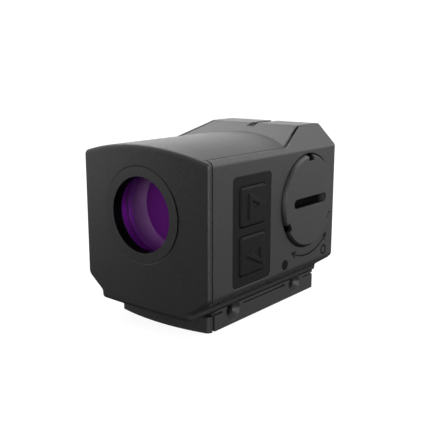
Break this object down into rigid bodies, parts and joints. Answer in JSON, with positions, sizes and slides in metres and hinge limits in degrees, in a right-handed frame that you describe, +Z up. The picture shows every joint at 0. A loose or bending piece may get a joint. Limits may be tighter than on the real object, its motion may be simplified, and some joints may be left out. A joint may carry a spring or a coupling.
{
  "type": "enclosed reflex sight",
  "caption": "Compact black enclosed reflex sight: coated lens in a boxy housing, arrow keypad, coin-slotted battery cap and a side-clamp dovetail base.",
  "frame": {"origin": "Bottom centre of the sight: midway between its sides and between its front and rear faces, level with the underside of the clamp jaws.", "axes": "+Z up, -Y towards the objective lens, +X towards the side with the keypad and battery cap."},
  "size_m": [0.0384, 0.0522, 0.0439],
  "materials": {
    "black_anodised": "fine matt black anodise",
    "bezel_black": "fine matt black anodise",
    "base_black": "matt black anodise",
    "cap_black": "matt black anodise",
    "coated_glass": "violet anti-reflection coating",
    "clear_glass": "polished",
    "seal_rubber": "matt",
    "keypad_rubber": "matt",
    "screw_steel": "black oxide",
    "inner_plastic": "moulded",
    "led_epoxy": "clear red",
    "board_laminate": "solder mask",
    "chip_epoxy": "moulded",
    "contact_brass": "plated",
    "cell_steel": "satin"
  },
  "bodies": {
    "housing": {"core_housing": "black_anodised", "left_cover": "black_anodised", "right_cover": "black_anodised", "right_cover_screws": "screw_steel", "left_cover_screws": "screw_steel", "front_bezel": "bezel_black", "objective_lens": "coated_glass", "objective_seal": "seal_rubber", "baffle_tube": "inner_plastic", "rear_gasket": "seal_rubber", "rear_cover": "black_anodised", "rear_window": "clear_glass", "rear_window_seal": "seal_rubber", "rear_cover_screws": "screw_steel", "emitter_mount": "inner_plastic", "emitter_led": "led_epoxy", "keypad_board": "board_laminate", "driver_board": "board_laminate", "driver_chip": "chip_epoxy", "upper_switch": "inner_plastic", "lower_switch": "inner_plastic", "keypad_frame": "keypad_rubber", "battery_tray": "inner_plastic", "negative_contact": "contact_brass", "positive_contact": "contact_brass", "coin_cell": "cell_steel", "base_plate": "base_black", "base_screws": "screw_steel"},
    "upper_key": {"upper_key": "keypad_rubber", "upper_plunger": "inner_plastic"},
    "lower_key": {"lower_key": "keypad_rubber", "lower_plunger": "inner_plastic"},
    "battery_cap": {"battery_cap": "cap_black", "cap_seal": "seal_rubber"},
    "clamp_jaw": {"clamp_jaw": "base_black"},
    "clamp_screw_front": {"clamp_screw_front": "screw_steel"},
    "clamp_screw_rear": {"clamp_screw_rear": "screw_steel"}
  },
  "joints": [
    {"name": "upper_key_press", "type": "slide", "parent": "housing", "child": "upper_key", "axis": [-1, 0, 0], "range_m": [0, 0.0004], "stiffness_N_per_m": 1500, "springref_m": -0.0003},
    {"name": "lower_key_press", "type": "slide", "parent": "housing", "child": "lower_key", "axis": [-1, 0, 0], "range_m": [0, 0.0004], "stiffness_N_per_m": 1500, "springref_m": -0.0003},
    {"name": "battery_cap_turn", "type": "hinge", "parent": "housing", "child": "battery_cap", "pos_m": [0.0178, 0.01291, 0.0261], "axis": [1, 0, 0], "range_deg": [0, 65]},
    {"name": "clamp_jaw_slide", "type": "slide", "parent": "housing", "child": "clamp_jaw", "axis": [1, 0, 0], "range_m": [0, 0.00135]},
    {"name": "clamp_screw_front_turn", "type": "hinge", "parent": "clamp_jaw", "child": "clamp_screw_front", "pos_m": [0.0115, -0.0104, 0.0033], "axis": [1, 0, 0], "range_deg": [0, 1081]},
    {"name": "clamp_screw_rear_turn", "type": "hinge", "parent": "clamp_jaw", "child": "clamp_screw_rear", "pos_m": [0.0115, 0.01565, 0.0033], "axis": [1, 0, 0], "range_deg": [0, 1081]}
  ],
  "couplings": [
    {"joint": "clamp_screw_front_turn", "follows": "clamp_jaw_slide", "rad_per_m": 13963},
    {"joint": "clamp_screw_rear_turn", "follows": "clamp_jaw_slide", "rad_per_m": 13963}
  ]
}
